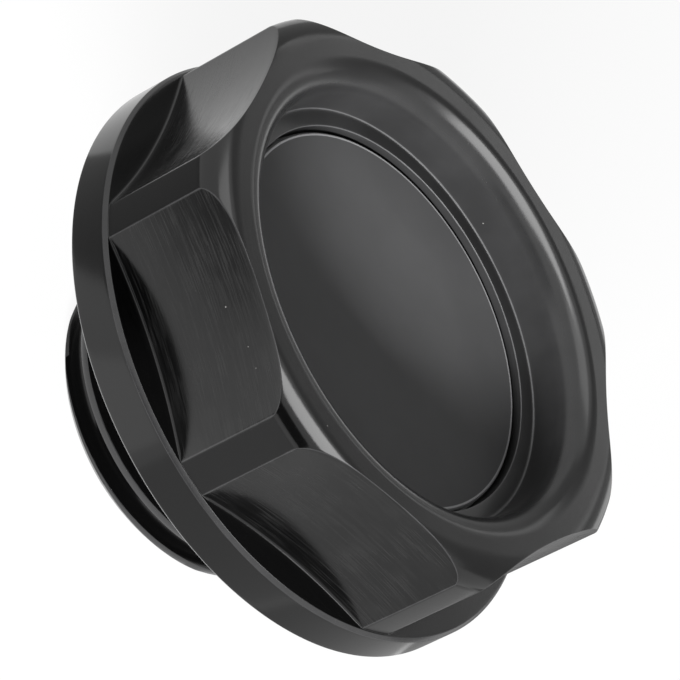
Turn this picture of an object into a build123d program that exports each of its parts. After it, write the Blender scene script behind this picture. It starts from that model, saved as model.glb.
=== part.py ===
"""Oil filler cap: a turned and milled aluminium cap with a seven-lobed grip, a blank badge disc set
in a recess of its top, and a rubber sealing ring round its threaded neck. Millimetres, +Z up,
origin at the middle of the neck's open end, on which the cap stands."""
from build123d import *
import os

os.makedirs("parts", exist_ok=True)

# Neck that screws into the filler opening
thread_radius = 17.0
thread_depth = 1.7
thread_pitch = 3.0
thread_crest_flat = 0.75
thread_root_flat = 0.3
thread_run_in = 2.8
thread_overcut = 0.4
relief_undercut = 0.2
neck_length = 15.65
neck_end_chamfer = 0.95
neck_wall = 2.5
bore_mouth_chamfer = 0.6
bore_corner_round = 1.5

# Sealing ring and its seat under the flange
seal_section = 3.5
seal_clearance = 0.3
seal_seat_depth = 2.6
relief_length = 3.6

# Badge disc and the pocket that holds it
disc_radius = 20.25
disc_thickness = 1.5
disc_edge_chamfer = 0.2
disc_clearance = 0.3
disc_sink = 0.75

# Recess in the top, above the pocket
ledge_width = 1.95
ledge_foot_round = 0.3
recess_depth = 5.9
lip_round = 2.9
web_thickness = 5.0

# Grip head with its crown and its milled scallops
rim_thickness = 8.0
head_height = 14.05
crown_width = 3.15
crown_height = 2.4
lobe_count = 7
scallop_depth = 3.45
scallop_radius = 56.0
scallop_foot_round = 0.3

# Flange that seats on the filler opening
flange_margin = 0.5
flange_height = 4.7
flange_top_chamfer = 0.35
flange_under_chamfer = 0.25

# Radii worked out from the driving sizes
root_radius = thread_radius - thread_depth
relief_radius = root_radius - relief_undercut
bore_radius = root_radius - neck_wall
pocket_radius = disc_radius + disc_clearance
recess_radius = pocket_radius + ledge_width
lobe_radius = recess_radius + rim_thickness
flange_radius = lobe_radius + flange_margin
seal_middle_radius = relief_radius + seal_clearance + seal_section / 2
seat_radius = seal_middle_radius + seal_section / 2 + seal_clearance

# Heights above the neck's open end
flange_under = neck_length
flange_top = flange_under + flange_height
head_top = flange_top + head_height
crown_foot = head_top - crown_height
ledge_level = head_top - recess_depth
disc_top = ledge_level - disc_sink
pocket_floor = disc_top - disc_thickness
bore_floor = pocket_floor - web_thickness
seat_level = flange_under + seal_seat_depth
seal_middle = seat_level - seal_clearance - seal_section / 2
thread_top = flange_under - relief_length

# Cap body, turned from one bar and milled: half section of the turned blank, then the scallops
with BuildPart() as cap_body:
    with BuildSketch(Plane.XZ) as half_section:
        with BuildLine() as outline:
            Polyline(
                (0, bore_floor),
                (bore_radius - bore_corner_round, bore_floor),
            )
            CenterArc(
                (bore_radius - bore_corner_round, bore_floor - bore_corner_round),
                bore_corner_round, 90, -90,
            )
            Polyline(
                (bore_radius, bore_floor - bore_corner_round),
                (bore_radius, bore_mouth_chamfer),
                (bore_radius + bore_mouth_chamfer, 0),
                (thread_radius - neck_end_chamfer, 0),
                (thread_radius, neck_end_chamfer),
                (thread_radius, thread_top - thread_radius + relief_radius),
                (relief_radius, thread_top),
                (relief_radius, seat_level),
                (seat_radius, seat_level),
                (seat_radius, flange_under),
                (flange_radius - flange_under_chamfer, flange_under),
                (flange_radius, flange_under + flange_under_chamfer),
                (flange_radius, flange_top - flange_top_chamfer),
                (flange_radius - flange_top_chamfer, flange_top),
                (lobe_radius, flange_top),
                (lobe_radius, crown_foot),
            )
            EllipticalCenterArc(
                (lobe_radius - crown_width, crown_foot), crown_width, crown_height,
                start_angle=0, arc_size=90,
            )
            Line((lobe_radius - crown_width, head_top), (recess_radius + lip_round, head_top))
            CenterArc((recess_radius + lip_round, head_top - lip_round), lip_round, 90, 90)
            Line(
                (recess_radius, head_top - lip_round),
                (recess_radius, ledge_level + ledge_foot_round),
            )
            CenterArc(
                (recess_radius - ledge_foot_round, ledge_level + ledge_foot_round),
                ledge_foot_round, 0, -90,
            )
            Polyline(
                (recess_radius - ledge_foot_round, ledge_level),
                (pocket_radius, ledge_level),
                (pocket_radius, pocket_floor),
                (0, pocket_floor),
                (0, bore_floor),
            )
        make_face()
    revolve(axis=Axis.Z)

    # Bull-nosed cutter of a scallop: its rounded corner leaves the small round at the foot
    with BuildPart(mode=Mode.PRIVATE) as scallop_cutter:
        with BuildSketch(Plane.XY.offset(flange_top)):
            Circle(scallop_radius)
        extrude(amount=head_height + crown_height)
        fillet(scallop_cutter.edges().group_by(Axis.Z)[0], radius=scallop_foot_round)
    scallop_middle_radius = lobe_radius - scallop_depth + scallop_radius
    half_pitch = 180 / lobe_count
    with PolarLocations(scallop_middle_radius, lobe_count, start_angle=half_pitch - 90):
        add(scallop_cutter.part, mode=Mode.SUBTRACT)

    # Right-hand thread, a helical groove that starts below the neck's end and runs out in the relief
    groove_half_mouth = (thread_pitch - thread_crest_flat) / 2
    flank_run = groove_half_mouth - thread_root_flat / 2
    groove_half_outside = groove_half_mouth + flank_run * thread_overcut / thread_depth
    groove_top = thread_top + groove_half_outside + relief_undercut
    with BuildLine():
        groove_line = Helix(
            thread_pitch, groove_top + thread_run_in, thread_radius, center=(0, 0, -thread_run_in),
        )
    with BuildSketch(Plane.XZ):
        with Locations((0, -thread_run_in)):
            Polygon(
                (root_radius, -thread_root_flat / 2),
                (thread_radius + thread_overcut, -groove_half_outside),
                (thread_radius + thread_overcut, groove_half_outside),
                (root_radius, thread_root_flat / 2),
                align=None,
            )
    sweep(path=groove_line, is_frenet=True, mode=Mode.SUBTRACT)

cap_body.part.label = "cap_body"
export_step(cap_body.part, "parts/cap_body.step")

# Blank badge disc, bonded to the floor of the pocket
with BuildPart() as badge_disc:
    with BuildSketch(Plane.XY.offset(pocket_floor)):
        Circle(disc_radius)
    extrude(amount=disc_thickness)
    chamfer(badge_disc.edges().group_by(Axis.Z)[-1], length=disc_edge_chamfer)

badge_disc.part.label = "badge_disc"
export_step(badge_disc.part, "parts/badge_disc.step")

# Rubber sealing ring, held in its seat by the neck
with BuildPart() as sealing_ring:
    with BuildSketch(Plane.XZ):
        with Locations((seal_middle_radius, seal_middle)):
            Circle(seal_section / 2)
    revolve(axis=Axis.Z)

sealing_ring.part.label = "sealing_ring"
export_step(sealing_ring.part, "parts/sealing_ring.step")
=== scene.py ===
"""Oil filler cap of black anodised aluminium: a lobed grip head over a flange and a threaded neck,
with a blank badge disc in its top and a rubber sealing ring under its flange."""
import math
import bmesh
import bpy
import numpy as np
from mathutils import Matrix, Quaternion, Vector


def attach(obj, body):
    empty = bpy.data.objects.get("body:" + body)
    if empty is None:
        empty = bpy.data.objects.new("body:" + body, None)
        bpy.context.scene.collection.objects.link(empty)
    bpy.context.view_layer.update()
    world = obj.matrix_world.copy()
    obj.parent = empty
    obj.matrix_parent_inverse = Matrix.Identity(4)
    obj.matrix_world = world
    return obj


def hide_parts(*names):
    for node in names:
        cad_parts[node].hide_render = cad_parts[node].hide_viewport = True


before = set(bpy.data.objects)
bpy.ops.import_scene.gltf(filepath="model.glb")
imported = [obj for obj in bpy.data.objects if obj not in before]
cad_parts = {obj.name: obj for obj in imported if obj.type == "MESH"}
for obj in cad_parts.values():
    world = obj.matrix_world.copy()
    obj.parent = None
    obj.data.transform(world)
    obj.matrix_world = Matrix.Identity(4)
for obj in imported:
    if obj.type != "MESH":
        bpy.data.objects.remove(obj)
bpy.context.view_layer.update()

MM = 0.001

# The camera looks at the cap from above the flange, in front of a lobe, from half a metre away with
# a long lens. It is rolled, so that the cap's axis leans to the upper right of the picture.
view_turn = math.radians(-9.965)
view_height = math.radians(33.825)
view_roll = math.radians(62.83)
view_distance = 483.49 * MM
view_aim = Vector((0.0, 0.0, 22.46 * MM))
lens_length = 258.09
sensor_width = 36.0
nearest_seen = 20 * MM
back = Vector((
    math.sin(view_turn) * math.cos(view_height),
    -math.cos(view_turn) * math.cos(view_height),
    math.sin(view_height),
))
level = Vector((math.cos(view_turn), math.sin(view_turn), 0.0))
right = math.cos(view_roll) * level + math.sin(view_roll) * back.cross(level)
up = back.cross(right)
camera_data = bpy.data.cameras.new("camera")
camera_data.lens = lens_length
camera_data.sensor_width = sensor_width
camera_data.clip_start = nearest_seen
camera = bpy.data.objects.new("camera", camera_data)
camera.matrix_world = Matrix.Translation(view_aim + view_distance * back) @ Matrix((
    (right.x, up.x, back.x, 0.0),
    (right.y, up.y, back.y, 0.0),
    (right.z, up.z, back.z, 0.0),
    (0.0, 0.0, 0.0, 1.0),
))
bpy.context.scene.collection.objects.link(camera)
bpy.context.scene.camera = camera

# The stage is a plain pale floor just under the neck's open end, in a pale room. Both are white to the
# camera and to the cap's gloss, and the floor keeps the cap's soft shadow.
floor_half = 1.2
floor_drop = -0.05 * MM
floor_grey = (0.85, 0.85, 0.85, 1)
plain_white = (1, 1, 1, 1)
shadow_lift = 0.88
shadow_reach = 0.12
all_white_from = 0.5
room_level = 0.3


def node(tree, kind, **values):
    """Adds a shader node and sets its properties and its named or numbered inputs."""
    made = tree.nodes.new(kind)
    for name, value in values.items():
        if name == "inputs":
            for socket, number in value.items():
                made.inputs[socket].default_value = number
        else:
            setattr(made, name, value)
    return made


def fresh_material(name):
    """An empty material with its output node."""
    made = bpy.data.materials.new(name)
    made.use_nodes = True
    made.node_tree.nodes.clear()
    return made, made.node_tree, made.node_tree.nodes.new("ShaderNodeOutputMaterial")


def seen_as_background(tree):
    """A factor for camera, gloss and transmission rays alone, so that all of them see one background."""
    path = tree.nodes.new("ShaderNodeLightPath")
    most = path.outputs["Is Camera Ray"]
    for ray in ("Is Glossy Ray", "Is Transmission Ray"):
        either = node(tree, "ShaderNodeMath", operation="MAXIMUM")
        tree.links.new(most, either.inputs[0])
        tree.links.new(path.outputs[ray], either.inputs[1])
        most = either.outputs[0]
    return most


floor_mesh = bpy.data.meshes.new("floor")
quarters = ((-1, -1), (1, -1), (1, 1), (-1, 1))
floor_corners = [(x * floor_half, y * floor_half, floor_drop) for x, y in quarters]
floor_mesh.from_pydata(floor_corners, [], [(0, 1, 2, 3)])
floor = bpy.data.objects.new("floor", floor_mesh)
bpy.context.scene.collection.objects.link(floor)
floor_paint, tree, out = fresh_material("floor_paint")
paint = node(tree, "ShaderNodeBsdfDiffuse", inputs={"Color": floor_grey})
lift = node(tree, "ShaderNodeEmission", inputs={"Color": plain_white, "Strength": 1.0})
place = tree.nodes.new("ShaderNodeTexCoord")
away = node(tree, "ShaderNodeVectorMath", operation="LENGTH")
tree.links.new(place.outputs["Object"], away.inputs[0])
# Far from the cap the floor is as white as the room, so that no view shows where it ends
share = node(tree, "ShaderNodeMapRange", interpolation_type="SMOOTHSTEP", inputs={
    "From Min": shadow_reach, "From Max": all_white_from, "To Min": shadow_lift, "To Max": 1.0})
tree.links.new(away.outputs["Value"], share.inputs["Value"])
lifted = node(tree, "ShaderNodeMath", operation="MULTIPLY")
tree.links.new(seen_as_background(tree), lifted.inputs[0])
tree.links.new(share.outputs[0], lifted.inputs[1])
floor_mix = tree.nodes.new("ShaderNodeMixShader")
tree.links.new(lifted.outputs[0], floor_mix.inputs[0])
tree.links.new(paint.outputs[0], floor_mix.inputs[1])
tree.links.new(lift.outputs[0], floor_mix.inputs[2])
tree.links.new(floor_mix.outputs[0], out.inputs["Surface"])
floor_paint.cycles.emission_sampling = "NONE"
floor_mesh.materials.append(floor_paint)

world = bpy.data.worlds.new("room")
bpy.context.scene.world = world
world.use_nodes = True
world.cycles.sampling_method = "NONE"
tree = world.node_tree
tree.nodes.clear()
out = tree.nodes.new("ShaderNodeOutputWorld")
white = node(tree, "ShaderNodeBackground", inputs={"Color": plain_white, "Strength": 1.0})
dim = node(tree, "ShaderNodeBackground", inputs={"Color": plain_white, "Strength": room_level})
mix = tree.nodes.new("ShaderNodeMixShader")
tree.links.new(seen_as_background(tree), mix.inputs[0])
tree.links.new(dim.outputs[0], mix.inputs[1])
tree.links.new(white.outputs[0], mix.inputs[2])
tree.links.new(mix.outputs[0], out.inputs["Surface"])


def softbox(name, turn, height, distance, width, depth, radiance, roll=0.0):
    """A flat lamp that faces the cap, seen at this turn round the cap and this height, in degrees, and
    rolled about the line to the cap. Its distance and its two sides are in metres."""
    a, e = math.radians(turn), math.radians(height)
    away = Vector((math.sin(a) * math.cos(e), -math.cos(a) * math.cos(e), math.sin(e)))
    data = bpy.data.lights.new(name, "AREA")
    data.shape = "RECTANGLE"
    data.size = width
    data.size_y = depth
    data.energy = radiance * math.pi * width * depth
    lamp = bpy.data.objects.new(name, data)
    lamp.rotation_mode = "QUATERNION"
    lamp.location = view_aim + away * distance
    rolled = Quaternion((0, 0, 1), math.radians(roll))
    lamp.rotation_quaternion = (-away).to_track_quat("-Z", "Y") @ rolled
    bpy.context.scene.collection.objects.link(lamp)
    return lamp


# The gloss doesn't see the low front lamp: it lights the matt surfaces, and the recess's wall shades the
# near half of the disc from it. Two lamps overhead are for the gloss alone, and a strip stands behind.
front_key = softbox(
    "front_key", turn=15, height=13.9, distance=0.9, width=0.45, depth=0.11, radiance=218.0)
front_key.visible_glossy = False
top_softbox = softbox(
    "top_softbox", turn=120, height=77, distance=1.0, width=0.62, depth=0.62, radiance=6.5)
top_softbox.visible_diffuse = False
softbox(
    "back_strip", turn=166.5, height=30.4, distance=1.0, width=0.78, depth=0.065, radiance=1.3, roll=6)
left_arch = softbox(
    "left_arch", turn=-130, height=66, distance=0.9, width=0.5, depth=0.4, radiance=1.6)
left_arch.visible_diffuse = False


def card(name, corners, glow):
    """A card that only the cap's gloss sees, as a studio's flags and reflectors are."""
    mesh = bpy.data.meshes.new(name)
    mesh.from_pydata(corners, [], [(0, 1, 2, 3)])
    made = bpy.data.objects.new(name, mesh)
    bpy.context.scene.collection.objects.link(made)
    for ray in ("visible_camera", "visible_diffuse", "visible_shadow", "visible_transmission"):
        setattr(made, ray, False)
    paint, tree, out = fresh_material(name + "_paint")
    paint.cycles.emission_sampling = "NONE"
    shader = node(tree, "ShaderNodeEmission", inputs={"Color": plain_white, "Strength": glow})
    tree.links.new(shader.outputs[0], out.inputs["Surface"])
    mesh.materials.append(paint)


def wall_card(name, distance, start, end, low, high, glow):
    """A flat upright card whose middle is at a distance, between two turns and two heights, in degrees."""
    turns = np.radians((start, end))
    reach = distance / np.cos((turns[1] - turns[0]) / 2)
    sides = np.stack([np.sin(turns), -np.cos(turns)], axis=1) * reach
    bottom, top = view_aim.z + distance * np.tan(np.radians((low, high)))
    card(name, [(*sides[0], bottom), (*sides[1], bottom), (*sides[1], top), (*sides[0], top)], glow)


# Upright cards: distance in metres, the two turns, the two heights, glow
for wall in (
    ("back_card", 1.3, 110, 220, 22, 52, 0.42),
    ("middle_back_card", 1.31, 110, 178, 9, 22, 0.5),
    ("low_back_card", 1.32, 110, 178, -5, 9, 1.4),
    ("left_back_card", 1.33, 176, 212, -5, 22, 0.45),
    ("side_card", 1.34, 211, 236, -5, 22, 0.8),
    ("camera_card", 0.55, -40, 24, 6, 52, 0.05),
):
    wall_card(*wall)

# Cards on the floor: the four corners in millimetres, glow
floor_card_height = 0.3 * MM
for name, corners, glow in (
    ("left_card", ((-120, -50), (-48, -50), (-38, 6), (-120, 6)), 0.33),
    ("dark_card", ((-43, -56), (-28, -56), (-40, -88), (-58, -88)), 0.28),
    ("corner_card", ((-66, -51), (-46, -51), (-60, -76), (-80, -76)), 1.5),
    ("bright_card", ((-30, -38), (-8, -38), (-8, -60), (-30, -60)), 1.4),
    ("front_card", ((-4, -36), (110, -36), (110, -130), (-4, -130)), 0.75),
    ("right_card", ((30, -34), (110, -34), (110, 6), (30, 6)), 0.6),
    ("far_card", ((22, 8), (140, 8), (140, 120), (22, 120)), 0.36),
):
    card(name, [(x * MM, y * MM, floor_card_height) for x, y in corners], glow)

# The cap body is turned from one aluminium bar, its scallops are milled, and all of it is anodised
# black. Its surface is one grid: the columns run round the cap, and the rows run from the pocket's
# middle over the head, the flange and the neck to the middle of the bore's end.
flange_under = 15.65 * MM
flange_height = 4.7 * MM
flange_radius = 31.0 * MM
flange_top = flange_under + flange_height
flange_top_chamfer = 0.35 * MM
flange_under_chamfer = 0.25 * MM
head_top = flange_top + 14.05 * MM
lobe_radius = 30.5 * MM
lobe_count = 7
scallop_radius = 56.0 * MM
scallop_waist = 27.05 * MM
scallop_foot_round = 0.3 * MM
edge_break = 0.12 * MM
corner_blend = 1.5 * edge_break
crown_width = 3.15 * MM
crown_height = 2.4 * MM
crown_foot = head_top - crown_height
recess_radius = 22.5 * MM
lip_round = 2.9 * MM
ledge_level = head_top - 5.9 * MM
pocket_radius = 20.55 * MM
pocket_floor = ledge_level - 2.25 * MM
thread_radius = 17.0 * MM
thread_depth = 1.7 * MM
thread_pitch = 3.0 * MM
thread_crest_flat = 0.75 * MM
thread_root_flat = 0.3 * MM
thread_run_in = 2.8 * MM
thread_top = flange_under - 3.6 * MM
root_radius = thread_radius - thread_depth
relief_radius = root_radius - 0.2 * MM
neck_end_chamfer = 0.95 * MM
bore_radius = root_radius - 2.5 * MM
bore_floor = pocket_floor - 5.0 * MM
bore_corner_round = 1.5 * MM
bore_mouth_chamfer = 0.6 * MM
seat_radius = relief_radius + 4.1 * MM
seat_level = flange_under + 2.6 * MM
fine_break = 0.04 * MM
sharp_break = 0.05 * MM
groove_break = 0.08 * MM
groove_round = 0.15 * MM
ledge_break = 0.1 * MM
ledge_round = 0.3 * MM
land_tolerance = 0.02 * MM
merge_distance = 0.001 * MM
land_spans = 6
scallop_spans = 40
corner_spans = 4
round_rows = 5
round_middle = round_rows // 2
most_cut = 0.45
lip_spans = 14
crown_spans = 16
crown_samples = 181
cone_spans = 12
end_cone_spans = 8
bore_corner_spans = 6


def eased(count):
    """Fractions from 0 to 1, closer together at both ends: half of one minus the cosine."""
    return (1 - np.cos(np.linspace(0, math.pi, count + 1))) / 2


def lobe_columns(across_land, across_scallop, round_corner):
    """Each column's turn, the wall's radius there, and the distance from the nearest corner. A land is
    a circle about the axis. A scallop is d cos t - sqrt(s^2 - d^2 sin^2 t), a circle of radius s about a
    point at distance d. Each corner between them is a quadratic curve."""
    d = scallop_waist + scallop_radius
    pitch = 2 * math.pi / lobe_count
    # The corner is where the two circles meet
    half_scallop = math.acos((d**2 + lobe_radius**2 - scallop_radius**2) / (2 * d * lobe_radius))
    half_land = pitch / 2 - half_scallop
    blend = corner_blend / lobe_radius

    def cut(t):
        return d * np.cos(t) - np.sqrt(scallop_radius**2 - (d * np.sin(t))**2)

    land = -half_land + blend + eased(across_land) * 2 * (half_land - blend)
    scallop = half_land + blend + eased(across_scallop) * 2 * (half_scallop - blend)
    s = np.linspace(0, 1, round_corner + 1)[1:-1]
    end = cut(half_scallop - blend)
    bend = (1 - s)**2 * lobe_radius + 2 * s * (1 - s) * lobe_radius + s**2 * end
    turn = np.concatenate([
        land, half_land - blend + 2 * blend * s,
        scallop, pitch - half_land - blend + 2 * blend * s,
    ])
    radius = np.concatenate([
        np.full(land.size, lobe_radius), bend, cut(scallop - pitch / 2), bend[::-1],
    ])
    off = np.minimum(np.abs(turn - half_land), np.abs(turn - pitch + half_land)) * lobe_radius
    off = np.minimum(off, np.abs(turn + half_land) * lobe_radius)
    turns = (np.arange(lobe_count)[:, None] * pitch + turn[None]).ravel() - math.pi / 2
    return (np.append(turns, turns[0] + 2 * math.pi), np.append(np.tile(radius, lobe_count), radius[0]),
            np.append(np.tile(off, lobe_count), off[0]))


column_turn, wall_radius, corner_distance = lobe_columns(land_spans, scallop_spans, corner_spans)
column_count = column_turn.size


def corner(r, z, cut=0.0, spans=1):
    """A stop of a section: its radius and height over the columns, its rounding, and the spans after."""
    flat = np.zeros(column_count)
    return flat + r, flat + z, cut, spans


def arc(r, z, across, rise, start, end, spans):
    """Stops along an ellipse about the point r, z, between two angles in degrees."""
    angles = np.radians(np.linspace(start, end, spans + 1))
    return [corner(r + across * math.cos(a), z + rise * math.sin(a)) for a in angles]


def section_rows(stops):
    """Rows through the stops. A corner with a cut becomes a quadratic curve from one cut before it to
    one cut after it, and the straight run between two corners is divided closer together at its ends."""
    points = np.array([[s[0], s[1]] for s in stops])
    steps = np.diff(points, axis=0)
    lengths = np.linalg.norm(steps, axis=1) + 1e-12
    rows = []
    starts = []
    for i, stop in enumerate(stops):
        starts.append(len(rows))
        if stop[2] > 0:
            cut = np.minimum(stop[2], most_cut * np.minimum(lengths[i - 1], lengths[i]))
            before = points[i] - steps[i - 1] / lengths[i - 1] * cut
            after = points[i] + steps[i] / lengths[i] * cut
            s = np.linspace(0, 1, round_rows)[:, None, None]
            rows.extend((1 - s)**2 * before + 2 * s * (1 - s) * points[i] + s**2 * after)
        else:
            rows.append(points[i])
        if stop[3] > 1:
            following = stops[i + 1]
            cut = 0.0
            if following[2] > 0:
                cut = np.minimum(following[2], most_cut * np.minimum(lengths[i], lengths[i + 1]))
            last = points[i + 1] - steps[i] / lengths[i] * cut
            first = rows[-1]
            rows.extend(first + (last - first) * u for u in eased(stop[3])[1:-1])
    return np.array(rows), starts


# The crown is a quarter ellipse that runs into the flat top; a point on it is found by its run from
# the flat's inner edge, so that every column has the same number of rows up to its own wall.
lip_edge = recess_radius + lip_round
crown_angles = np.radians(np.linspace(90, 0, crown_samples))
crown_r = np.append(lip_edge, lobe_radius - crown_width + crown_width * np.cos(crown_angles))
crown_z = np.append(head_top, crown_foot + crown_height * np.sin(crown_angles))
crown_run = np.append(0.0, np.cumsum(np.hypot(np.diff(crown_r), np.diff(crown_z))))
crown_end = np.interp(wall_radius, crown_r, crown_run)
crown_stops = []
for k in range(1, crown_spans):
    run = crown_end * k / crown_spans
    crown_stops.append(corner(np.interp(run, crown_run, crown_r), np.interp(run, crown_run, crown_z)))
crown_stops.append(corner(wall_radius, np.interp(crown_end, crown_run, crown_z), edge_break, 8))

# The thread is a right-hand helical groove with sloping flanks: its rows follow the helix between the
# two end cones, and level rows finish it on the cones.
flank_run = (thread_pitch - thread_crest_flat - thread_root_flat) / 2


def thread_surface(z):
    """The neck's radius at each height and turn: the least of the thread and its two end cones."""
    middle = -thread_run_in + thread_pitch * column_turn / (2 * math.pi)
    off = np.abs((z - middle) / thread_pitch + 0.5 - np.floor((z - middle) / thread_pitch + 0.5) - 0.5)
    rise = np.clip((off * thread_pitch - thread_root_flat / 2) / flank_run, 0, 1)
    thread = root_radius + rise * thread_depth
    top_cone = relief_radius + thread_top - z
    end_cone = thread_radius - neck_end_chamfer + z
    return np.minimum(thread, np.minimum(top_cone, end_cone))


cone_top = thread_top - thread_radius + relief_radius
half_root = thread_root_flat / 2
crest_edge = half_root + flank_run
soften = 0.05 * MM
flank_shares = (0.0, 0.35, 0.7)
rising = [half_root + flank_run * share for share in flank_shares]
rising += [crest_edge - soften, crest_edge + soften]
row_offsets = np.array([-o for o in rising[::-1]] + rising)
first_turn = math.floor(neck_end_chamfer / thread_pitch) - 2
last_turn = math.ceil((cone_top + thread_run_in) / thread_pitch) + 2
helix_rows = np.arange(first_turn, last_turn)[:, None] * thread_pitch + row_offsets[None]
helix_rows = np.sort(helix_rows.ravel())[::-1]
thread_stops = []
for z in np.linspace(thread_top, cone_top, cone_spans + 1)[1:-1]:
    thread_stops.append(corner(thread_surface(z), z))
for offset in helix_rows:
    middle = -thread_run_in + thread_pitch * column_turn / (2 * math.pi)
    z = np.clip(middle + offset, neck_end_chamfer, cone_top)
    if np.ptp(z) > 0:
        thread_stops.append(corner(thread_surface(z), z))
for z in np.linspace(neck_end_chamfer, 0, end_cone_spans + 1)[1:-1]:
    thread_stops.append(corner(thread_surface(z), z))
thread_stops.append(corner(thread_surface(0.0), 0.0, fine_break, 2))

body_stops = [
    corner(0, pocket_floor, spans=2),
    corner(pocket_radius, pocket_floor, sharp_break, 2),
    corner(pocket_radius, ledge_level, ledge_break, 4),
    corner(recess_radius, ledge_level, ledge_round, 5),
    *arc(lip_edge, head_top - lip_round, lip_round, lip_round, 180, 90, lip_spans),
    *crown_stops,
    corner(wall_radius, flange_top, scallop_foot_round, 4),
    corner(flange_radius - flange_top_chamfer, flange_top, fine_break, 1),
    corner(flange_radius, flange_top - flange_top_chamfer, fine_break, 5),
    corner(flange_radius, flange_under + flange_under_chamfer, fine_break, 1),
    corner(flange_radius - flange_under_chamfer, flange_under, fine_break, 5),
    corner(seat_radius, flange_under, groove_break, 3),
    corner(seat_radius, seat_level, groove_round, 3),
    corner(relief_radius, seat_level, groove_round, 4),
    corner(relief_radius, thread_top, sharp_break, 1),
    *thread_stops,
    corner(bore_radius + bore_mouth_chamfer, 0, sharp_break, 1),
    corner(bore_radius, bore_mouth_chamfer, sharp_break, 8),
    *arc(bore_radius - bore_corner_round, bore_floor - bore_corner_round,
         bore_corner_round, bore_corner_round, 0, 90, bore_corner_spans),
    corner(0, bore_floor),
]


def run_from(rows, stops):
    """Each point's distance along its column from the middle of the nearest rounding, given by the rows
    where the roundings start."""
    steps = np.diff(rows, axis=0)
    lengths = np.hypot(steps[:, 0], steps[:, 1])
    run = np.cumsum(np.append(np.zeros((1, rows.shape[2])), lengths, 0), 0)
    return np.min([np.abs(run - run[stop + round_middle]) for stop in stops], axis=0)


def grid_piece(name, rows, turns, edge_distance, satin=1.0, finish=None):
    """A closed turned form: each row's radius and height carried round the axis. The seam and the two
    poles are merged, and the faces point outwards. Each point keeps its distance from an edge in
    millimetres and its share of the satin finish, and finish gives each face's material slot."""
    r, z = rows[:, 0], rows[:, 1]
    points = np.stack([r * np.cos(turns), r * np.sin(turns), z], axis=-1)
    row_count, columns = r.shape
    index = np.arange(row_count * columns).reshape(row_count, columns)
    quads = np.stack([index[:-1, :-1], index[1:, :-1], index[1:, 1:], index[:-1, 1:]], axis=-1)
    mesh = bpy.data.meshes.new(name)
    mesh.from_pydata(points.reshape(-1, 3).tolist(), [], quads.reshape(-1, 4).tolist())
    edge = mesh.attributes.new("edge_distance", "FLOAT", "POINT")
    edge.data.foreach_set("value", (edge_distance / MM).ravel())
    share = mesh.attributes.new("satin_share", "FLOAT", "POINT")
    share.data.foreach_set("value", (satin + np.zeros(r.shape)).ravel())
    if finish is not None:
        mesh.polygons.foreach_set("material_index", finish.ravel())
    work = bmesh.new()
    work.from_mesh(mesh)
    bmesh.ops.remove_doubles(work, verts=work.verts, dist=merge_distance)
    bmesh.ops.recalc_face_normals(work, faces=work.faces)
    work.to_mesh(mesh)
    work.free()
    mesh.shade_smooth()
    piece = bpy.data.objects.new(name, mesh)
    bpy.context.scene.collection.objects.link(piece)
    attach(piece, "root")
    return piece


body_rows, stop_rows = section_rows(body_stops)
# The places of some stops in the list of stops
pocket_edge = 2
ledge_foot = 3
lip_first = 4
satin_whole = lip_first + 2
satin_end = lip_first + lip_spans
wall_stop = lip_first + lip_spans + crown_spans
foot_stop = wall_stop + 1
flange_edges = range(foot_stop + 1, foot_stop + 6)
thread_stop = foot_stop + 9
bore_mouth = thread_stop + len(thread_stops)
wall_rows = slice(stop_rows[wall_stop] + round_middle, stop_rows[foot_stop] + round_middle)
# The foot of the recess's wall is a concave round, not a sharp edge: the pale edge line along it is a
# painted highlight.
plain_edges = [pocket_edge, ledge_foot, *flange_edges, bore_mouth, bore_mouth + 1]
body_edges = run_from(body_rows, [stop_rows[e] for e in (*plain_edges, wall_stop)])
# On the lands the crown runs into the wall without an edge
on_land = wall_radius > lobe_radius - land_tolerance
body_edges[:, on_land] = run_from(body_rows, [stop_rows[e] for e in plain_edges])[:, on_land]
body_edges[wall_rows] = np.minimum(body_edges[wall_rows], corner_distance)
# The thread's crests count as edges too
thread_rows = slice(stop_rows[thread_stop], stop_rows[bore_mouth])
body_edges[thread_rows] = np.minimum(body_edges[thread_rows], thread_radius - body_rows[thread_rows, 0])
turned, milled = 0, 1
finish = np.full((body_rows.shape[0] - 1, column_count - 1), turned)
in_scallop = (wall_radius[:-1] + wall_radius[1:]) / 2 < lobe_radius - land_tolerance
finish[wall_rows, in_scallop] = milled
# The recess is left satin; the satin dies out on the lip's round
satin_rows = np.interp(
    np.arange(len(body_rows)), [stop_rows[satin_whole], stop_rows[satin_end]], [1.0, 0.0])
cap_body = grid_piece(
    "turned_cap_body", body_rows, column_turn, body_edges, satin_rows[:, None], finish)
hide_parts("cap_body")


def feed(tree, made, terms):
    """Gives a node its terms in order: numbers, colours or other nodes' outputs."""
    for socket, term in zip(made.inputs, terms):
        if isinstance(term, bpy.types.NodeSocket):
            tree.links.new(term, socket)
        else:
            socket.default_value = term
    return made.outputs[0]


def maths(tree, operation, *terms):
    """A Math node's output."""
    return feed(tree, node(tree, "ShaderNodeMath", operation=operation), terms)


def fade(tree, value, low, high, start=0.0, end=1.0):
    """A smooth change from start to end while the value goes from low to high."""
    made = node(tree, "ShaderNodeMapRange", interpolation_type="SMOOTHSTEP")
    return feed(tree, made, (value, low, high, start, end))


def blended(tree, factor, first, second):
    """A colour between two colours. The node's factor is its input 0, its colours are its inputs 6 and
    7, and the blend is its output 2."""
    made = node(tree, "ShaderNodeMix", data_type="RGBA")
    for socket, term in ((made.inputs[0], factor), (made.inputs[6], first), (made.inputs[7], second)):
        if isinstance(term, bpy.types.NodeSocket):
            tree.links.new(term, socket)
        else:
            socket.default_value = term
    return made.outputs[2]


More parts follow.
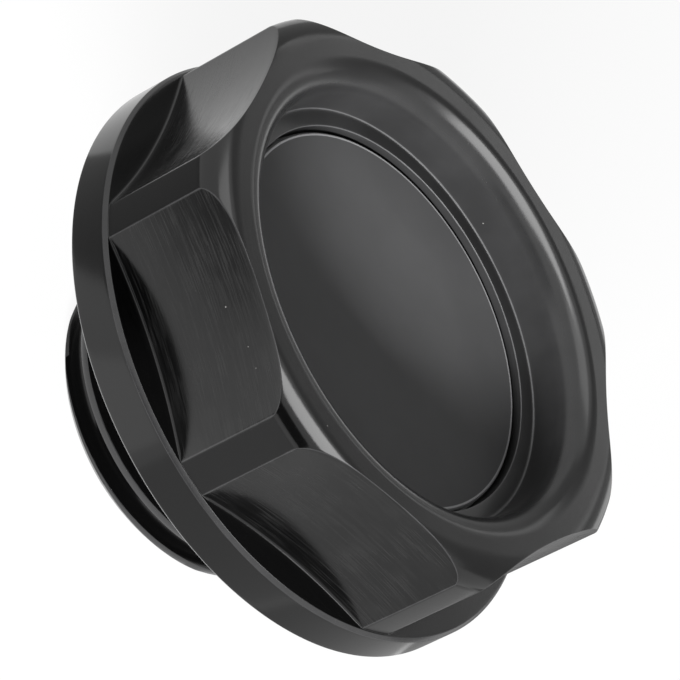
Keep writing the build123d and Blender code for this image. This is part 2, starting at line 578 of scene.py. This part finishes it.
def shader_group(name, inputs, outputs):
    """An empty node group with named values in and out, and its two end nodes."""
    group = bpy.data.node_groups.new(name, "ShaderNodeTree")
    for title, number in inputs.items():
        socket = group.interface.new_socket(name=title, in_out="INPUT", socket_type="NodeSocketFloat")
        socket.default_value = number
    for title in outputs:
        group.interface.new_socket(name=title, in_out="OUTPUT", socket_type="NodeSocketFloat")
    return group, group.nodes.new("NodeGroupInput"), group.nodes.new("NodeGroupOutput")


def placed(tree, group, **values):
    """A group placed in a material with its own values; an underscore in a name stands for a space."""
    made = node(tree, "ShaderNodeGroup", node_tree=group)
    for title, value in values.items():
        socket = made.inputs[title.replace("_", " ").capitalize()]
        if isinstance(value, bpy.types.NodeSocket):
            tree.links.new(value, socket)
        else:
            socket.default_value = value
    return made.outputs


# Tool lines: noise that changes fast with the radius and the height and slowly round the axis, so that
# it runs in rings. Streaks are the strongest of those lines, and they gather in patches.
patches_per_mm = 0.3
patch_strength = 0.35
no_streaks_above = 0.85
all_streaks_above = 0.4
streak_softness = 0.12
tool_lines, into, given = shader_group(
    "tool_lines", {"Lines per mm": 3.0, "Breaks": 2.0, "Coverage": 0.3, "Across faces": 1.0},
    ("Height", "Streaks"))
place = node(tool_lines, "ShaderNodeTexCoord")
in_mm = node(tool_lines, "ShaderNodeVectorMath", operation="SCALE", inputs={"Scale": 1 / MM})
tool_lines.links.new(place.outputs["Object"], in_mm.inputs[0])
axes = node(tool_lines, "ShaderNodeSeparateXYZ")
tool_lines.links.new(in_mm.outputs[0], axes.inputs[0])
x, y, height = axes.outputs
radius = maths(tool_lines, "SQRT", maths(
    tool_lines, "ADD", maths(tool_lines, "MULTIPLY", x, x), maths(tool_lines, "MULTIPLY", y, y)))
ring = node(tool_lines, "ShaderNodeCombineXYZ")
round_x = maths(tool_lines, "MULTIPLY", maths(tool_lines, "DIVIDE", x, radius), into.outputs["Breaks"])
round_y = maths(tool_lines, "MULTIPLY", maths(tool_lines, "DIVIDE", y, radius), into.outputs["Breaks"])
across = maths(tool_lines, "MULTIPLY", height, into.outputs["Lines per mm"])
feed(tool_lines, ring, (round_x, round_y, across))
lines = node(tool_lines, "ShaderNodeTexNoise", noise_dimensions="4D", inputs={
    "Scale": 1.0, "Detail": 1.0, "Roughness": 0.5})
tool_lines.links.new(ring.outputs[0], lines.inputs["Vector"])
outward = maths(tool_lines, "MULTIPLY", radius, into.outputs["Lines per mm"])
outward = maths(tool_lines, "MULTIPLY", outward, into.outputs["Across faces"])
tool_lines.links.new(outward, lines.inputs["W"])
tool_lines.links.new(lines.outputs["Fac"], given.inputs["Height"])
gathered = node(tool_lines, "ShaderNodeTexNoise", inputs={"Scale": patches_per_mm / MM, "Detail": 2.0})
tool_lines.links.new(place.outputs["Object"], gathered.inputs["Vector"])
threshold = fade(tool_lines, into.outputs["Coverage"], 0.0, 1.0, no_streaks_above, all_streaks_above)
patch = maths(tool_lines, "SUBTRACT", gathered.outputs["Fac"], 0.5)
threshold = maths(tool_lines, "SUBTRACT", threshold, maths(tool_lines, "MULTIPLY", patch, patch_strength))
past = maths(tool_lines, "SUBTRACT", lines.outputs["Fac"], threshold)
tool_lines.links.new(fade(tool_lines, past, 0.0, streak_softness), given.inputs["Streaks"])

# Handling: a faint uneven haze, a fine grain, and a few specks of dust the size of a pinpoint. A cell
# holds a speck only where its chance is high, and the speck's size is a share of the cell.
least_chance = 0.9
most_speck = 0.04
handling, into, given = shader_group(
    "handling", {"Haze per mm": 0.12, "Grain per mm": 9.0, "Specks per mm": 0.5},
    ("Haze", "Grain", "Specks"))
place = node(handling, "ShaderNodeTexCoord")
for title, detail in (("Haze", 4.0), ("Grain", 2.0)):
    spread = node(handling, "ShaderNodeTexNoise", inputs={"Detail": detail, "Roughness": 0.55})
    handling.links.new(place.outputs["Object"], spread.inputs["Vector"])
    scale = maths(handling, "DIVIDE", into.outputs[title + " per mm"], MM)
    handling.links.new(scale, spread.inputs["Scale"])
    handling.links.new(spread.outputs["Fac"], given.inputs[title])
cells = node(handling, "ShaderNodeTexVoronoi")
handling.links.new(place.outputs["Object"], cells.inputs["Vector"])
handling.links.new(maths(handling, "DIVIDE", into.outputs["Specks per mm"], MM), cells.inputs["Scale"])
chance = node(handling, "ShaderNodeSeparateColor")
handling.links.new(cells.outputs["Color"], chance.inputs[0])
size = fade(handling, chance.outputs[0], least_chance, 1.0, 0.0, most_speck)
near = maths(handling, "LESS_THAN", cells.outputs["Distance"], size)
handling.links.new(near, given.inputs["Specks"])

# Edge wear and a painted highlight: the film is rubbed thin in a narrow uneven line along the cap's sharp
# edges, and the same pale line is painted along the foot of the recess's wall as a highlight. Its width
# varies by noise, and its middle is worn through whole.
edge_line_per_mm = 0.6
edge_line_low = 0.35
edge_line_high = 0.7
narrowest = 0.8
widest = 1.3
full_line_share = 0.3
edge_wear_and_highlight, into, given = shader_group("edge_wear_and_highlight", {"Edge distance": 1.0, "Width": 0.1}, ("Worn and highlit",))
place = node(edge_wear_and_highlight, "ShaderNodeTexCoord")
uneven = node(edge_wear_and_highlight, "ShaderNodeTexNoise", inputs={
    "Scale": edge_line_per_mm / MM, "Detail": 4.0, "Roughness": 0.6})
edge_wear_and_highlight.links.new(place.outputs["Object"], uneven.inputs["Vector"])
varied = fade(edge_wear_and_highlight, uneven.outputs["Fac"], edge_line_low, edge_line_high, narrowest, widest)
reach = maths(edge_wear_and_highlight, "MULTIPLY", into.outputs["Width"], varied)
nearness = maths(edge_wear_and_highlight, "DIVIDE", into.outputs["Edge distance"], reach)
edge_wear_and_highlight.links.new(fade(edge_wear_and_highlight, nearness, full_line_share, 1.0, 1.0, 0.0), given.inputs["Worn and highlit"])

# The noises stay near their middle, so a change is spread over this part of their range
haze_low = 0.3
haze_high = 0.7
film_blue = 1.04
satin_blue = 1.02
streak_share = 0.8
rub_on_gloss = 0.1
rub_and_highlight_on_satin = 0.45
# The rubbed film's pale colour also paints the highlight along the foot of the recess's wall
rubbed_and_highlight_film = (0.12, 0.12, 0.123, 1)
dust_colour = (0.11, 0.108, 0.104, 1)
duller_streaks = 0.1
duller_wear = 0.03
duller_dust = 0.4


def anodised(name, film, streak_film, roughness, lines_per_mm, breaks, coverage, line_depth, grain_depth,
             across_faces=1.0, satin_film=0.017, satin_roughness=0.3, haze=0.15, ior=1.5):
    """Black anodised aluminium: a dyed film over the tool's lines, thinner on the lines and the edges,
    and paler and duller where the metal under it is satin. Where the edge distance marks the foot of the
    recess's wall, the pale line of the thin film is a painted highlight. A film is given by the share of
    light that it sends back, and the two depths of the relief are in millimetres."""
    made, tree, out = fresh_material(name)
    tool = placed(tree, tool_lines, lines_per_mm=lines_per_mm, breaks=breaks, coverage=coverage,
                  across_faces=across_faces)
    touch = placed(tree, handling)
    distance = node(tree, "ShaderNodeAttribute", attribute_name="edge_distance")
    satin = node(tree, "ShaderNodeAttribute", attribute_name="satin_share")
    worn_and_highlit = placed(tree, edge_wear_and_highlight, edge_distance=distance.outputs["Fac"])["Worn and highlit"]
    shader = node(tree, "ShaderNodeBsdfPrincipled", inputs={"IOR": ior})
    colour = blended(tree, satin.outputs["Fac"], (film, film, film * film_blue, 1),
                     (satin_film, satin_film, satin_film * satin_blue, 1))
    colour = blended(tree, maths(tree, "MULTIPLY", tool["Streaks"], streak_share), colour,
                     (streak_film, streak_film, streak_film, 1))
    uneven = fade(tree, touch["Haze"], haze_low, haze_high, 1 - haze, 1 + haze)
    toned = node(tree, "ShaderNodeVectorMath", operation="SCALE")
    tree.links.new(colour, toned.inputs[0])
    tree.links.new(uneven, toned.inputs["Scale"])
    rub_and_highlight = fade(tree, satin.outputs["Fac"], 0.0, 1.0, rub_on_gloss, rub_and_highlight_on_satin)
    colour = blended(tree, maths(tree, "MULTIPLY", worn_and_highlit, rub_and_highlight), toned.outputs[0], rubbed_and_highlight_film)
    colour = blended(tree, touch["Specks"], colour, dust_colour)
    tree.links.new(colour, shader.inputs["Base Color"])
    dull = fade(tree, satin.outputs["Fac"], 0.0, 1.0, roughness, satin_roughness)
    uneven = fade(tree, touch["Haze"], haze_low, haze_high, 1 - haze / 2, 1 + haze / 2)
    dull = maths(tree, "MULTIPLY", dull, uneven)
    for mask, rise in (
        (tool["Streaks"], duller_streaks), (worn_and_highlit, duller_wear), (touch["Specks"], duller_dust),
    ):
        dull = maths(tree, "ADD", dull, maths(tree, "MULTIPLY", mask, rise))
    tree.links.new(dull, shader.inputs["Roughness"])
    relief = maths(tree, "ADD", maths(tree, "MULTIPLY", tool["Height"], line_depth),
                   maths(tree, "MULTIPLY", touch["Grain"], grain_depth))
    bump = node(tree, "ShaderNodeBump", inputs={"Strength": 1.0, "Distance": MM})
    tree.links.new(relief, bump.inputs["Height"])
    tree.links.new(bump.outputs[0], shader.inputs["Normal"])
    tree.links.new(shader.outputs[0], out.inputs["Surface"])
    return made


cap_body.data.materials.append(anodised(
    "anodised_turned", film=0.0006, streak_film=0.003, roughness=0.16, lines_per_mm=3.0, breaks=2.0,
    coverage=0.15, line_depth=0.0015, grain_depth=0.0008))
cap_body.data.materials.append(anodised(
    "anodised_milled", film=0.0006, streak_film=0.004, roughness=0.17, lines_per_mm=12.0, breaks=6.0,
    coverage=0.7, line_depth=0.0035, grain_depth=0.001, across_faces=0.0))

# The badge disc is a blank aluminium plate with a fine chamfer, anodised a satin black and bonded into
# the pocket. A narrow rim of its face and the chamfer are painted pale grey as a highlight, so they show
# as a bright line round the disc.
disc_radius = 20.25 * MM
disc_thickness = 1.5 * MM
disc_top = pocket_floor + disc_thickness
disc_edge_chamfer = 0.2 * MM
disc_bright_rim = 0.22 * MM
disc_break = 0.03 * MM
disc_rows, disc_stops = section_rows([
    corner(0, pocket_floor, spans=2),
    corner(disc_radius, pocket_floor, fine_break, 2),
    corner(disc_radius, disc_top - disc_edge_chamfer, disc_break, 1),
    corner(disc_radius - disc_edge_chamfer, disc_top, disc_break, 1),
    corner(disc_radius - disc_edge_chamfer - disc_bright_rim, disc_top, 0, 6),
    corner(0, disc_top),
])
chamfer_foot, chamfer_top, face_rim = disc_stops[2:5]
disc_edges = run_from(disc_rows, [chamfer_foot, chamfer_top])
satin_face, painted_highlight_edge = 0, 1
disc_finish = np.full((disc_rows.shape[0] - 1, column_count - 1), satin_face)
disc_finish[chamfer_foot + 1:face_rim] = painted_highlight_edge
badge_disc = grid_piece("blank_badge_disc", disc_rows, column_turn, disc_edges, finish=disc_finish)
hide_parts("badge_disc")
disc_lines = {"lines_per_mm": 2.0, "breaks": 1.5, "coverage": 0.1, "line_depth": 0.0006, "haze": 0.05}
badge_disc.data.materials.append(anodised(
    "satin_disc_film", film=0.075, streak_film=0.085, roughness=0.38, grain_depth=0.002,
    satin_film=0.075, satin_roughness=0.38, ior=1.2, **disc_lines))
# Painted highlight: the rim of the face and the chamfer get a pale grey film, which shows as a bright
# line.
badge_disc.data.materials.append(anodised(
    "disc_edge_painted_highlight", film=0.32, streak_film=0.35, roughness=0.25, grain_depth=0.001,
    satin_film=0.32, satin_roughness=0.25, **disc_lines))

# The sealing ring is moulded in black nitrile rubber, with a fine trimmed line where its mould parted.
# It is stretched over the neck and sits in the groove of the flange's underside.
seal_half = 1.75 * MM
seal_clearance = 0.3 * MM
seal_middle_radius = relief_radius + seal_clearance + seal_half
seal_middle = seat_level - seal_clearance - seal_half
seal_spans = 32
rubber_black = (0.009, 0.009, 0.0095, 1)
rubber_bloom = (0.028, 0.027, 0.026, 1)
rubber_dust = (0.3, 0.29, 0.27, 1)
bloom_low = 0.4
bloom_high = 0.75
rubber_smooth = 0.45
rubber_dull = 0.62
parting_width = 0.1
parting_height = 0.03
rubber_grain = 0.006
seal_stops = arc(seal_middle_radius, seal_middle, seal_half, seal_half, 0, 360, seal_spans)
seal_rows = section_rows(seal_stops)[0]
from_parting = np.abs(seal_rows[:, 1] - seal_middle)
sealing_ring = grid_piece("rubber_sealing_ring", seal_rows, column_turn, from_parting)
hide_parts("sealing_ring")


def moulded_rubber(name):
    """Black rubber: matt, with a fine grain, a bloom in patches, and a trimmed parting line."""
    made, tree, out = fresh_material(name)
    touch = placed(tree, handling, haze_per_mm=0.35, grain_per_mm=6.0, specks_per_mm=0.7)
    distance = node(tree, "ShaderNodeAttribute", attribute_name="edge_distance")
    parting = placed(tree, edge_wear_and_highlight, edge_distance=distance.outputs["Fac"], width=parting_width)["Worn and highlit"]
    shader = node(tree, "ShaderNodeBsdfPrincipled", inputs={"IOR": 1.5})
    bloom = fade(tree, touch["Haze"], bloom_low, bloom_high)
    colour = blended(tree, bloom, rubber_black, rubber_bloom)
    colour = blended(tree, touch["Specks"], colour, rubber_dust)
    tree.links.new(colour, shader.inputs["Base Color"])
    dull = fade(tree, touch["Haze"], haze_low, haze_high, rubber_smooth, rubber_dull)
    tree.links.new(dull, shader.inputs["Roughness"])
    relief = maths(tree, "ADD", maths(tree, "MULTIPLY", touch["Grain"], rubber_grain),
                   maths(tree, "MULTIPLY", parting, parting_height))
    bump = node(tree, "ShaderNodeBump", inputs={"Strength": 1.0, "Distance": MM})
    tree.links.new(relief, bump.inputs["Height"])
    tree.links.new(bump.outputs[0], shader.inputs["Normal"])
    tree.links.new(shader.outputs[0], out.inputs["Surface"])
    return made


sealing_ring.data.materials.append(moulded_rubber("moulded_rubber"))

bpy.context.view_layer.update()
bpy.context.scene.view_settings.view_transform = "Standard"
